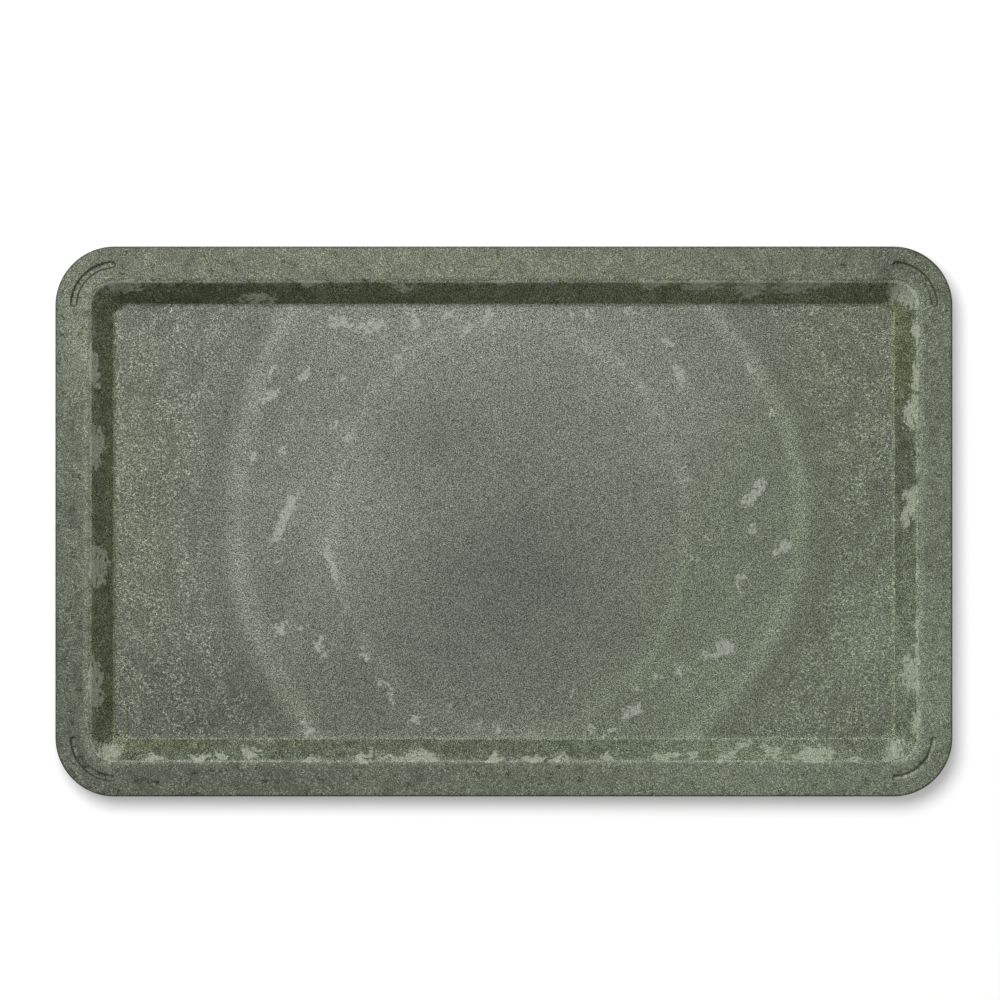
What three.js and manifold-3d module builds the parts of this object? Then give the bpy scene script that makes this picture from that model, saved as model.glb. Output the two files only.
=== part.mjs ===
// A full-size gastronorm serving tray, compression moulded in one piece from a fibre-filled thermoset.
// Units are millimetres. The origin is the centre of the tray's underside, on the table.
// +X runs along the long side, +Y along the short side, and +Z points up.
import * as THREE from "three";
import { mergeVertices, toCreasedNormals } from "three/addons/utils/BufferGeometryUtils.js";
import Module from "manifold-3d";

// Outside sizes: the full gastronorm size, as a shallow tray.
const TRAY_LENGTH = 530;
const TRAY_WIDTH = 325;
const TRAY_HEIGHT = 20;
const OUTER_CORNER_RADIUS = 35;

// The moulded sheet, which is equally thick in the floor, the walls and the rim.
const WALL_THICKNESS = 2.8;

// From the outer edge inwards: a flat rim as far as the crest, then a wall that slopes down to the floor.
const RIM_WIDTH = 20.5;
const WALL_RUN = 14;
const FLOOR_CORNER_RADIUS = 8;

// Roundings of the section. The inside of the crest's bend is never sharper than the last one.
const EDGE_ROUNDING = 1.2;
const CREST_ROUNDING = 4.5;
const FLOOR_FILLET = 3;
const SHARPEST_BEND = 0.4;

// A shallow curved groove in the top of the rim at each corner. Its round ends pass the corner's tangents.
const GROOVE_WIDTH = 5;
const GROOVE_DEPTH = 1.4;
const GROOVE_FLAT = 1.2;
const GROOVE_INSET = 10.8;
const GROOVE_OVERRUN = 1;

// Under each groove, a stacking rib. Its foot is wider than the groove, so it can't drop into the tray below,
// and it is high enough to keep the walls of nested trays apart by the clearance.
const RIB_LAND = 0.8;
const RIB_FOOT_ROUNDING = 0.6;
const RIB_DRAFT = THREE.MathUtils.degToRad(15);
const STACK_CLEARANCE = 0.55;

// How finely the round stretches are drawn, in steps for each arc.
const CORNER_STEPS = 11;
const BEND_STEPS = 5;
const GROOVE_STEPS = 4;
const FOOT_STEPS = 2;
const SLOT_STEPS = 10;
const SLOT_END_STEPS = 6;

// How far a cutting or joining solid reaches past the face that it works on.
const OVERREACH = 1;

// Points closer than this are one point, and faces that meet at less than this angle are shaded smooth.
const MERGE_DISTANCE = 1e-4;
const CREASE_ANGLE = THREE.MathUtils.degToRad(25);

const QUARTER_TURN = Math.PI / 2;
const CORNERS = [
  [1, 1],
  [-1, 1],
  [-1, -1],
  [1, -1],
];

const wasm = await Module();
wasm.setup();

const compound = new THREE.MeshStandardMaterial({
  name: "tray_compound",
  color: 0x74796d,
  roughness: 0.7,
  metalness: 0,
});

// The wall's slope below the horizontal, and how much further out its bends lie on the sheet's lower face.
const slope = Math.atan2(TRAY_HEIGHT - WALL_THICKNESS, WALL_RUN);
const bendShift = WALL_THICKNESS * Math.tan(slope / 2);

// The crest's corners share their centres with the outer ones, and are never tighter than the floor's.
const crestCornerRadius = Math.max(OUTER_CORNER_RADIUS - RIM_WIDTH, FLOOR_CORNER_RADIUS);

const rimUnderside = TRAY_HEIGHT - WALL_THICKNESS;
const grooveRadius = OUTER_CORNER_RADIUS - GROOVE_INSET;
const ribHeight = WALL_THICKNESS / Math.cos(slope) - WALL_THICKNESS + STACK_CLEARANCE;

// The upper or the lower face of the sheet: the corners of its section as points of (inset, height), where
// the inset is the distance inwards from the outer edge, and the radius of the tray's corners there.
function sheetFace(shift, drop) {
  return {
    edge: new THREE.Vector2(0, TRAY_HEIGHT - drop),
    crest: new THREE.Vector2(RIM_WIDTH - shift, TRAY_HEIGHT - drop),
    foot: new THREE.Vector2(RIM_WIDTH + WALL_RUN - shift, WALL_THICKNESS - drop),
    middle: new THREE.Vector2(TRAY_WIDTH / 2, WALL_THICKNESS - drop),
    crestCornerRadius: crestCornerRadius + shift,
    footCornerRadius: FLOOR_CORNER_RADIUS + shift,
  };
}
const upperFace = sheetFace(0, 0);
const lowerFace = sheetFace(bendShift, WALL_THICKNESS);

// The radius of the tray's corners at an inset: it runs evenly from the edge to the crest and on to the foot
// of the wall, and the floor's outline shares its centres with the foot.
function cornerRadius(face, inset) {
  const { mapLinear } = THREE.MathUtils;
  const { crest, foot, crestCornerRadius: atCrest, footCornerRadius: atFoot } = face;
  if (inset <= crest.x) return mapLinear(inset, 0, crest.x, OUTER_CORNER_RADIUS, atCrest);
  if (inset <= foot.x) return mapLinear(inset, crest.x, foot.x, atCrest, atFoot);
  return atFoot - (inset - foot.x);
}

// Points along a circular arc.
function arc(centre, radius, from, to, steps) {
  return new THREE.EllipseCurve(centre.x, centre.y, radius, radius, from, to, to < from).getPoints(steps);
}

// The rounded corner of a section between two straight runs, as points.
function bend(before, corner, after, radius, steps) {
  const arriving = corner.clone().sub(before).normalize();
  const leaving = after.clone().sub(corner).normalize();
  const turn = Math.atan2(arriving.cross(leaving), arriving.dot(leaving));
  const start = corner.clone().addScaledVector(arriving, -radius * Math.tan(Math.abs(turn) / 2));
  const inwards = new THREE.Vector2(-arriving.y, arriving.x).multiplyScalar(Math.sign(turn));
  const centre = start.clone().addScaledVector(inwards, radius);
  const from = Math.atan2(-inwards.y, -inwards.x);
  return arc(centre, radius, from, from + turn, steps);
}

// A level ring of points at a height, from an outline.
function levelRing(outline, height) {
  return outline.map((point) => new THREE.Vector3(point.x, point.y, height));
}

// A level ring of the tray at a point of its section: a rounded rectangle, anticlockwise seen from above.
function trayRing(face, point) {
  const radius = cornerRadius(face, point.x);
  const reachX = TRAY_LENGTH / 2 - point.x - radius;
  const reachY = TRAY_WIDTH / 2 - point.x - radius;
  const outline = CORNERS.flatMap(([signX, signY], quarter) => {
    const centre = new THREE.Vector2(signX * reachX, signY * reachY);
    return arc(centre, radius, quarter * QUARTER_TURN, (quarter + 1) * QUARTER_TURN, CORNER_STEPS);
  });
  return levelRing(outline, point.y);
}

// A level ring along the centre line of a corner's groove, with round ends. The corner is the one at +X and
// +Y, and its centre is the origin.
function slotRing(halfWidth, height) {
  const setback = Math.asin((GROOVE_WIDTH / 2 - GROOVE_OVERRUN) / grooveRadius);
  const last = QUARTER_TURN - setback;
  const middle = new THREE.Vector2();
  const endAt = (angle) => new THREE.Vector2(grooveRadius, 0).rotateAround(middle, angle);
  const outline = [
    arc(middle, grooveRadius + halfWidth, setback, last, SLOT_STEPS),
    arc(endAt(last), halfWidth, last, last + Math.PI, SLOT_END_STEPS),
    arc(middle, grooveRadius - halfWidth, last, setback, SLOT_STEPS),
    arc(endAt(setback), halfWidth, setback + Math.PI, setback + 2 * Math.PI, SLOT_END_STEPS),
  ];
  return levelRing(outline.flatMap((points) => points.slice(0, -1)), height);
}

// A closed solid through level rings with equal counts of points. The rings run over the outside from the
// middle of the upper side to the middle of the lower side, and the first and the last ring are filled.
function loft(rings) {
  const count = rings[0].length;
  const positions = rings.flat().flatMap((point) => point.toArray());
  const triangles = [];
  for (let first = 0; first < (rings.length - 1) * count; first += count) {
    for (let i = 0; i < count; i++) {
      const a = first + i;
      const b = first + ((i + 1) % count);
      triangles.push(a, a + count, b, b, a + count, b + count);
    }
  }
  const lowest = (rings.length - 1) * count;
  for (const [a, b, c] of THREE.ShapeUtils.triangulateShape(rings[0], [])) {
    triangles.push(a, b, c);
  }
  for (const [a, b, c] of THREE.ShapeUtils.triangulateShape(rings.at(-1), [])) {
    triangles.push(lowest + a, lowest + c, lowest + b);
  }
  const geometry = new THREE.BufferGeometry();
  geometry.setAttribute("position", new THREE.Float32BufferAttribute(positions, 3));
  geometry.setIndex(triangles);
  return geometry;
}

function toSolid(geometry) {
  const merged = mergeVertices(geometry, MERGE_DISTANCE);
  const vertProperties = merged.getAttribute("position").array;
  const triVerts = new Uint32Array(merged.getIndex().array);
  return new wasm.Manifold(new wasm.Mesh({ numProp: 3, vertProperties, triVerts }));
}

function toGeometry(solid) {
  const { vertProperties, triVerts } = solid.getMesh();
  const geometry = new THREE.BufferGeometry();
  geometry.setAttribute("position", new THREE.BufferAttribute(vertProperties, 3));
  geometry.setIndex(new THREE.BufferAttribute(triVerts, 1));
  return toCreasedNormals(geometry, CREASE_ANGLE);
}

// The tray without its grooves and ribs. The section runs from the upper side of the floor up the wall, over
// the rim, round the edge, and back under the rim and down the wall to the lower side of the floor.
function mouldedSheet() {
  const { edge: edgeTop, crest: crestTop, foot: footTop, middle: floorTop } = upperFace;
  const { edge: edgeBottom, crest: crestBottom, foot: footBottom, middle: floorBottom } = lowerFace;
  const edgeRounding = Math.min(EDGE_ROUNDING, WALL_THICKNESS / 2 - MERGE_DISTANCE);
  const innerCrestRounding = Math.max(CREST_ROUNDING - WALL_THICKNESS, SHARPEST_BEND);
  const outerFootRounding = FLOOR_FILLET + WALL_THICKNESS;
  const upper = [
    ...bend(floorTop, footTop, crestTop, FLOOR_FILLET, BEND_STEPS),
    ...bend(footTop, crestTop, edgeTop, CREST_ROUNDING, BEND_STEPS),
    ...bend(crestTop, edgeTop, edgeBottom, edgeRounding, BEND_STEPS),
  ];
  const lower = [
    ...bend(edgeTop, edgeBottom, crestBottom, edgeRounding, BEND_STEPS),
    ...bend(edgeBottom, crestBottom, footBottom, innerCrestRounding, BEND_STEPS),
    ...bend(crestBottom, footBottom, floorBottom, outerFootRounding, BEND_STEPS),
  ];
  return loft([
    ...upper.map((point) => trayRing(upperFace, point)),
    ...lower.map((point) => trayRing(lowerFace, point)),
  ]);
}

// What a corner's groove takes out of the rim: half an ellipse in section, cut off at a narrow flat bottom.
function grooveCutter() {
  const halfWidth = GROOVE_WIDTH / 2;
  const bottomAngle = Math.acos(GROOVE_FLAT / GROOVE_WIDTH);
  const fullDepth = GROOVE_DEPTH / Math.sin(bottomAngle);
  const section = new THREE.EllipseCurve(0, TRAY_HEIGHT, halfWidth, fullDepth, 0, -bottomAngle, true);
  return loft([
    slotRing(halfWidth, TRAY_HEIGHT + OVERREACH),
    ...section.getPoints(GROOVE_STEPS).map((point) => slotRing(point.x, point.y)),
  ]);
}

// A corner's stacking rib: drafted sides that start inside the rim, and a flat foot with rounded edges.
function stackingRib() {
  const foot = new THREE.Vector2(GROOVE_WIDTH / 2 + RIB_LAND, rimUnderside - ribHeight);
  const rise = ribHeight + OVERREACH;
  const root = new THREE.Vector2(foot.x + rise * Math.tan(RIB_DRAFT), foot.y + rise);
  const footMiddle = new THREE.Vector2(0, foot.y);
  const section = [root, ...bend(root, foot, footMiddle, RIB_FOOT_ROUNDING, FOOT_STEPS)];
  return loft(section.map((point) => slotRing(point.x, point.y)));
}

// Copies of a solid that was drawn about a corner's centre, one at each corner of the tray.
function atCorners(geometry) {
  const reachX = TRAY_LENGTH / 2 - OUTER_CORNER_RADIUS;
  const reachY = TRAY_WIDTH / 2 - OUTER_CORNER_RADIUS;
  return CORNERS.map(([signX, signY], quarter) => {
    const turned = geometry.clone().rotateZ(quarter * QUARTER_TURN);
    return toSolid(turned.translate(signX * reachX, signY * reachY, 0));
  });
}

function trayBody() {
  let solid = toSolid(mouldedSheet());
  for (const rib of atCorners(stackingRib())) {
    solid = solid.add(rib);
  }
  for (const groove of atCorners(grooveCutter())) {
    solid = solid.subtract(groove);
  }
  const mesh = new THREE.Mesh(toGeometry(solid), compound);
  mesh.name = "tray_body";
  return mesh;
}

const tray = new THREE.Group();
tray.name = "gastronorm_tray";
tray.add(trayBody());

export default tray;
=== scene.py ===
# %% [markdown]
# # A gastronorm tray, pressed in one piece
#
# The real tray is a sheet of fibre-filled moulding compound, squeezed hot between the two halves of a
# steel mould. Floor, walls and rim are one skin of even thickness, so the tray is one Blender piece as
# well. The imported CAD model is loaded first, because it fixes the size and the place of all that follows.

# %% Load the frame that the tray is built in
import math

import bmesh
import bpy
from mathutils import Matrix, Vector


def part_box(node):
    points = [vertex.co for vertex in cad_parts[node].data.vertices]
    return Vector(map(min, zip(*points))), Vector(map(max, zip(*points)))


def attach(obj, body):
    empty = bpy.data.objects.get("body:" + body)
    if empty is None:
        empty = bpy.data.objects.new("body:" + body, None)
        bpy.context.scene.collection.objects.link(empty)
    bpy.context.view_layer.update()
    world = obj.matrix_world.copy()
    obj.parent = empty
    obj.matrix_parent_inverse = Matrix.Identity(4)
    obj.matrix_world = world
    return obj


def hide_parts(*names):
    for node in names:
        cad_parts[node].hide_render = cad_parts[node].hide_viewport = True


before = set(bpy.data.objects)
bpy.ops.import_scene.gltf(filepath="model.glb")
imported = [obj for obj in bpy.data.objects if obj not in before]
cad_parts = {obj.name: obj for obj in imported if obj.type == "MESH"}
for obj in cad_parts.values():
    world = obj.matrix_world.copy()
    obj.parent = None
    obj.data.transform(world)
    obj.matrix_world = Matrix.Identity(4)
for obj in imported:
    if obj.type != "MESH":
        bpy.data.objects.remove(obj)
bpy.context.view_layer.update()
low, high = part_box("tray_body")

MM = 0.001
LENGTH = high.x - low.x
WIDTH = high.y - low.y
RIM_TOP = high.z
print(f"The tray is {LENGTH / MM:.1f} x {WIDTH / MM:.1f} x {RIM_TOP / MM:.1f} mm")

# %% [markdown]
# ## The camera
#
# The tray is seen from straight above, with its long side across the picture and no visible lean of its
# walls. An orthographic camera could show that, but a real one has some perspective, so this is a very
# long lens, far up. Its height comes from the width of the picture at the level of the rim, and it stands
# a little off the tray's middle, because the tray lies a little low in the picture.

# %% Hang the camera over the tray
PICTURE_WIDTH = 590.7 * MM
PICTURE_CENTRE = Vector((-2.3, 12.7)) * MM
LENS_MM = 300.0
SENSOR_MM = 36.0
FARTHEST_SEEN = 50.0

camera_data = bpy.data.cameras.new("overhead_camera")
camera_data.lens = LENS_MM
camera_data.sensor_width = SENSOR_MM
camera_data.clip_end = FARTHEST_SEEN
camera = bpy.data.objects.new("overhead_camera", camera_data)
camera.location = (*PICTURE_CENTRE, RIM_TOP + PICTURE_WIDTH * LENS_MM / SENSOR_MM)
bpy.context.scene.collection.objects.link(camera)
bpy.context.scene.camera = camera
print(f"The camera hangs {camera.location.z:.2f} m above the table")

# %% [markdown]
# ## The sizes of the pressing
#
# A pressed skin has the same thickness everywhere. So where a wall bends into the rim, the underside
# bends a little further out than the top does, and its rounding is smaller on one side of the skin and
# larger on the other by just that thickness. These values are worked out once, here, and both faces of
# the tray use them.

# %% Work out both faces of the skin
THICKNESS = 2.8 * MM
RIM_WIDTH = 20.5 * MM
WALL_RUN = 14 * MM
OUTER_CORNER = 35 * MM
FLOOR_CORNER = 8 * MM
CREST_ROUNDING = 4.5 * MM
FLOOR_FILLET = 3 * MM
EDGE_ROUNDING = 1.2 * MM

wall_slope = math.atan2(RIM_TOP - THICKNESS, WALL_RUN)
half_bend = math.tan(wall_slope / 2)
bend_shift = THICKNESS * half_bend
print(f"The walls lean at {math.degrees(wall_slope):.1f} degrees")

# %% [markdown]
# ## A flat sheet in the tray's outline
#
# Every level of the tray is the same figure, a rectangle with round corners, drawn closer in or further
# out. It could be worked out point by point, but the editor's own way is shorter: a one-face grid gets
# its size, and a vertex bevel rounds its corners. A few cuts beside each corner give the points that the
# ends of the corner grooves need later on.

# %% Cut one sheet
CORNER_STEPS = 64
CUTS_BESIDE_CORNER = [step * MM for step in (0.4, 0.8, 1.2, 1.6, 2.0, 2.5, 3.2, 5.0)]
CUT_SNAP = 0.001 * MM


def cut_sheet(shell, inset, corner, height):
    """One flat face, so far in from the tray's edge all round."""
    reach = Vector((LENGTH / 2 - inset, WIDTH / 2 - inset, 1))
    grid = bmesh.ops.create_grid(shell, x_segments=1, y_segments=1, size=1)
    bmesh.ops.scale(shell, verts=grid["verts"], vec=reach)
    bmesh.ops.translate(shell, verts=grid["verts"], vec=(0, 0, height))
    rounded = bmesh.ops.bevel(
        shell, geom=grid["verts"], offset=corner, offset_type="OFFSET", segments=CORNER_STEPS, profile=0.5,
        affect="VERTICES", material=-1, clamp_overlap=False,
    )
    sheet = rounded["verts"][0].link_faces[0]
    for cut in CUTS_BESIDE_CORNER:
        for side in (-1, 1):
            across_x = Vector((side * (reach.x - corner - cut), 0, 0))
            across_y = Vector((0, side * (reach.y - corner - cut), 0))
            for plane in (across_x, across_y):
                border = [*sheet.verts, *sheet.edges]
                bmesh.ops.bisect_plane(
                    shell, geom=border, dist=CUT_SNAP, plane_co=plane, plane_no=plane.normalized()
                )
    return sheet


# %% [markdown]
# ## One face of the skin
#
# The top of the tray and its underside are built alike. The rim is a sheet that is inset again and again,
# and each inset leaves a flat band behind. The last one ends at the crest, where the wall starts. The
# floor is a second sheet, lower down, with tighter corners, and a bridge between the two makes the wall.
# One more inset on the floor keeps its large flat face clear of the rounding beside it, so that smooth
# shading doesn't spread over the floor.

# %% Lay up one face
FLOOR_MARGIN = 5.5 * MM


def draw_in(shell, sheet, way):
    """Insets a sheet by so much and returns the edges outside the band that this leaves."""
    band = bmesh.ops.inset_region(
        shell, faces=[sheet], thickness=way, use_even_offset=True, use_boundary=True
    )
    return [edge for face in band["faces"] for edge in face.edges if edge.is_boundary]


def lay_up_face(shell, rim_height, floor_height, rim_insets, crest_inset, floor_corner):
    """Rim, wall and floor, open at the edge. Returns the edges there, at the crest and at the foot."""
    sheet = cut_sheet(shell, 0, OUTER_CORNER, rim_height)
    insets = (0, *rim_insets, crest_inset)
    steps = [inner - outer for outer, inner in zip(insets, insets[1:])]
    edge = draw_in(shell, sheet, steps[0])
    for step in steps[1:]:
        draw_in(shell, sheet, step)
    crest = list(sheet.edges)
    bmesh.ops.delete(shell, geom=[sheet], context="FACES_ONLY")
    floor = cut_sheet(shell, crest_inset + WALL_RUN, floor_corner, floor_height)
    foot = draw_in(shell, floor, FLOOR_MARGIN)
    bmesh.ops.bridge_loops(shell, edges=crest + foot)
    return edge, crest, foot


# %% [markdown]
# ## Grooves above, ribs below
#
# Each corner of the rim has a curved groove on top and a stacking rib under it. The rib is wider than the
# groove, so a tray that is stacked on another stands on it. A groove could be cut with a boolean, but the
# rim is flat and soft-edged, so it is enough to have outlines close together there and to press their
# points down by how near they are to the groove's middle line.

# %% Measure the way to a groove
GROOVE_INSET = 10.8 * MM
GROOVE_WIDTH = 5 * MM
GROOVE_FLAT = 1.2 * MM
GROOVE_DEPTH = 1.4 * MM
GROOVE_OVERRUN = 1 * MM
RIB_FOOT_WIDTH = 6.6 * MM
RIB_ROOT_WIDTH = 9 * MM
RIB_HEIGHT = 2.185 * MM

groove_radius = OUTER_CORNER - GROOVE_INSET
groove_setback = math.asin((GROOVE_WIDTH / 2 - GROOVE_OVERRUN) / groove_radius)


def from_groove(point):
    """How far a point lies, seen from above, from the middle line of the nearest corner groove."""
    beside = Vector((abs(point.x) - LENGTH / 2 + OUTER_CORNER, abs(point.y) - WIDTH / 2 + OUTER_CORNER))
    turn = math.atan2(beside.y, beside.x)
    turn = min(max(turn, groove_setback), math.pi / 2 - groove_setback)
    middle = Vector((math.cos(turn), math.sin(turn))) * groove_radius
    return (beside - middle).length


def soft_step(value, start, end):
    """Goes smoothly from 0 to 1 while value goes from start to end."""
    share = min(max((value - start) / (end - start), 0), 1)
    return share * share * (3 - 2 * share)


def insets_about_groove(offsets):
    """Insets at these distances on both sides of the groove's middle line, from the edge inwards."""
    inner = [GROOVE_INSET + offset for offset in offsets]
    outer = [GROOVE_INSET - offset for offset in offsets if offset > 0]
    return sorted(inner + outer)


print(f"A groove bends at {groove_radius / MM:.1f} mm about its corner")

# %% [markdown]
# ## The tray
#
# Now both faces are laid up and joined at the tray's edge. The bends get their roundings from edge
# bevels: a rounding of radius r on a bend of angle a starts r times the tangent of half a from the fold,
# which is the bevel's offset. The rounding at the tray's edge is a bevel too.

# %% Press the tray
TOP_OFFSETS = [step * MM for step in (0, 0.3, 0.6, 0.95, 1.3, 1.65, 2.0, 2.25, 2.5, 3.0)]
RIB_OFFSETS = [step * MM for step in (0, 1.5, 2.7, 3.0, 3.3, 3.6, 3.9, 4.2, 4.5, 5.0)]
EDGE_MARGIN = 2.6 * MM
BEND_STEPS = 8
EDGE_STEPS = 5
LEVEL_SNAP = 0.01 * MM
UNDERSIDE_SLOT = 1

shell = bmesh.new()
top_insets = (EDGE_MARGIN, *insets_about_groove(TOP_OFFSETS))
top_edge, top_crest, top_foot = lay_up_face(shell, RIM_TOP, THICKNESS, top_insets, RIM_WIDTH, FLOOR_CORNER)
top_faces = set(shell.faces)

rim_under = RIM_TOP - THICKNESS
under_insets = (EDGE_MARGIN, *insets_about_groove(RIB_OFFSETS))
under_edge, under_crest, under_foot = lay_up_face(
    shell, rim_under, 0, under_insets, RIM_WIDTH - bend_shift, FLOOR_CORNER + bend_shift
)
for face in set(shell.faces) - top_faces:
    face.material_index = UNDERSIDE_SLOT
bmesh.ops.bridge_loops(shell, edges=top_edge + under_edge)
bmesh.ops.recalc_face_normals(shell, faces=shell.faces)

for vertex in shell.verts:
    way = from_groove(vertex.co)
    if abs(vertex.co.z - RIM_TOP) < LEVEL_SNAP:
        vertex.co.z -= GROOVE_DEPTH * soft_step(way, GROOVE_WIDTH / 2, GROOVE_FLAT / 2)
    elif abs(vertex.co.z - rim_under) < LEVEL_SNAP:
        vertex.co.z -= RIB_HEIGHT * soft_step(way, RIB_ROOT_WIDTH / 2, RIB_FOOT_WIDTH / 2)

bends = (
    (top_crest, CREST_ROUNDING * half_bend, BEND_STEPS),
    (top_foot, FLOOR_FILLET * half_bend, BEND_STEPS),
    (under_crest, (CREST_ROUNDING - THICKNESS) * half_bend, BEND_STEPS),
    (under_foot, (FLOOR_FILLET + THICKNESS) * half_bend, BEND_STEPS),
    (top_edge, EDGE_ROUNDING, EDGE_STEPS),
    (under_edge, EDGE_ROUNDING, EDGE_STEPS),
)
for fold, offset, steps in bends:
    bmesh.ops.bevel(
        shell, geom=fold, offset=offset, offset_type="OFFSET", segments=steps, profile=0.5,
        affect="EDGES", material=-1, clamp_overlap=False, loop_slide=True,
    )
for face in shell.faces:
    face.smooth = True
print(f"The pressing has {len(shell.faces)} faces and holds {shell.calc_volume() / MM**3 / 1000:.1f} cm3")

# %% Make it an object that stands for the CAD tray
LARGE_FACES_FIRST = 100

tray_mesh = bpy.data.meshes.new("tray_moulding")
shell.to_mesh(tray_mesh)
shell.free()
tray = bpy.data.objects.new("tray_moulding", tray_mesh)
bpy.context.scene.collection.objects.link(tray)
even_shading = tray.modifiers.new("even shading", "WEIGHTED_NORMAL")
even_shading.weight = LARGE_FACES_FIRST
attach(tray, "root")
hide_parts("tray_body")
print(f"{tray.name} replaces tray_body")

# %% [markdown]
# ## Short words for shader nodes
#
# The finish is a mottle with many layers, so it takes many nodes. A node tree can be wired by hand in the
# editor, but in a script it reads better when each node is one short call. This small class adds nodes to
# a tree, and its calls take numbers and sockets alike. Four words say how many finer layers a noise gets.
# All the finish works in millimetres of the tray.

# %% Name the node calls
SMOOTH = 0.0
SOFT = 2.0
CLOUDY = 3.0
CRISP = 4.0
NOISE_MIDDLE = 0.5


class Wiring:
    """Adds nodes to one shader tree. A value is a number, a tuple or another node's socket."""

    def __init__(self, tree):
        self.tree = tree

    def feed(self, socket, value):
        """Links a socket to the input, or writes a plain value into it."""
        if isinstance(value, bpy.types.NodeSocket):
            self.tree.links.new(value, socket)
        else:
            socket.default_value = value

    def add(self, kind, inputs, **options):
        """A node with these options, its inputs fed by name or number."""
        node = self.tree.nodes.new(kind)
        for option, value in options.items():
            setattr(node, option, value)
        for key, value in inputs.items():
            self.feed(node.inputs[key], value)
        return node

    def math(self, operation, *values):
        """A sum on numbers."""
        return self.add("ShaderNodeMath", dict(enumerate(values)), operation=operation).outputs[0]

    def times(self, *values):
        """Several numbers multiplied."""
        product = values[0]
        for value in values[1:]:
            product = self.math("MULTIPLY", product, value)
        return product

    def plus(self, *values):
        """Several numbers added up."""
        total = values[0]
        for value in values[1:]:
            total = self.math("ADD", total, value)
        return total

    def vector(self, operation, *values):
        """A sum on places, whose result is a place."""
        node = self.add("ShaderNodeVectorMath", dict(enumerate(values)), operation=operation)
        return node.outputs["Vector"]

    def measure(self, operation, *values):
        """A sum on places, whose result is a number."""
        node = self.add("ShaderNodeVectorMath", dict(enumerate(values)), operation=operation)
        return node.outputs["Value"]

    def scaled(self, place, factor):
        """A place or a colour, times a number."""
        node = self.add("ShaderNodeVectorMath", {0: place, "Scale": factor}, operation="SCALE")
        return node.outputs["Vector"]

    def parts(self, place):
        """The x, y and z of a place."""
        return self.add("ShaderNodeSeparateXYZ", {0: place}).outputs

    def fade(self, value, start, end, low=0.0, high=1.0):
        """Goes smoothly from low to high while value goes from start to end."""
        span = {"Value": value, "From Min": start, "From Max": end, "To Min": low, "To Max": high}
        smooth = {"interpolation_type": "SMOOTHSTEP", "clamp": False}
        return self.add("ShaderNodeMapRange", span, **smooth).outputs["Result"]

    def line(self, value, middle, half_width, high):
        """A soft line of so much strength, where value is near its middle."""
        off = self.math("ABSOLUTE", self.math("SUBTRACT", value, middle))
        return self.fade(off, half_width, 0.0, 0.0, high)

    def noise(self, place, size, detail=SOFT, output="Fac", space="2D"):
        """Cloudy values about one half, with blotches about as wide as size, in plan or in space."""
        given = {"Vector": place, "Scale": 1.0 / size, "Detail": detail}
        return self.add("ShaderNodeTexNoise", given, noise_dimensions=space).outputs[output]

    def swing(self, place, size, reach, detail=SOFT):
        """Cloudy values about zero, up to about so much on both sides."""
        return self.math("MULTIPLY_ADD", self.noise(place, size, detail), 2.0 * reach, -reach)

    def ragged(self, place, size, push):
        """A place pushed about by noise, so that what is drawn there gets an uneven edge."""
        swirl = self.vector("SUBTRACT", self.noise(place, size, output="Color"), (NOISE_MIDDLE,) * 3)
        return self.vector("ADD", place, self.vector("MULTIPLY", swirl, (push, push, 0.0)))

    def mix(self, share, first, second):
        """A colour between two others."""
        return self.add("ShaderNodeMix", {0: share, 6: first, 7: second}, data_type="RGBA").outputs[2]

    def effect(self, name, inputs):
        """The results of a group of nodes that was built before, with its own values here."""
        node = self.add("ShaderNodeGroup", inputs={}, node_tree=bpy.data.node_groups[name])
        for label, value in inputs.items():
            self.feed(node.inputs[label], value)
        return node.outputs


def start_effect(name, inputs, outputs):
    """An empty node group with named sockets. Returns its wiring, its inputs and its result sockets."""
    tree = bpy.data.node_groups.new(name, "ShaderNodeTree")
    for label, kind in inputs.items():
        tree.interface.new_socket(label, in_out="INPUT", socket_type="NodeSocket" + kind)
    for label in outputs:
        tree.interface.new_socket(label, in_out="OUTPUT", socket_type="NodeSocketFloat")
    given = tree.nodes.new("NodeGroupInput").outputs
    results = tree.nodes.new("NodeGroupOutput").inputs
    return Wiring(tree), given, results


PER_MM = 1 / MM
PLAN = (1.0, 1.0, 0.0)


def start_finish(name):
    """A new material. Returns it with its wiring and the place on the tray in millimetres."""
    material = bpy.data.materials.new(name)
    material.use_nodes = True
    material.node_tree.nodes.clear()
    w = Wiring(material.node_tree)
    place = w.scaled(w.add("ShaderNodeTexCoord", {}).outputs["Object"], PER_MM)
    return material, w, place


print("The finish is wired in millimetres")

# %% [markdown]
# ## The grain
#
# The compound is full of fine mineral and glass, and the mould's skin is pebbled, so the whole tray has a
# grain like fine sandpaper. One noise could make it, but noise alone looks smooth from near by. So the
# grain has three parts: a fine speckle, pebbles with a lightness of their own, and a glint on the
# lightest specks, so that they are rarer and brighter than the dark ones. The speckle is a noise in space
# that is turned first: such a noise hangs on a grid, and a level face that cuts the grid squarely would
# lose most of it. The group gives the tone, about 1, and the height for the bump.

# %% Build the pebbled grain
GRAIN_AXIS = (1.0, 0.4, 0.3)
GRAIN_TURN = 0.7
SPECK_CONTRAST = 1.75
PEBBLE_CONTRAST = 0.08
GLINT_SPAN = (0.52, 0.76)
GLINT_CHANGE = 0.75
GLINT_MEAN = 0.11
DARKEST_TONE = 0.1

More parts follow.
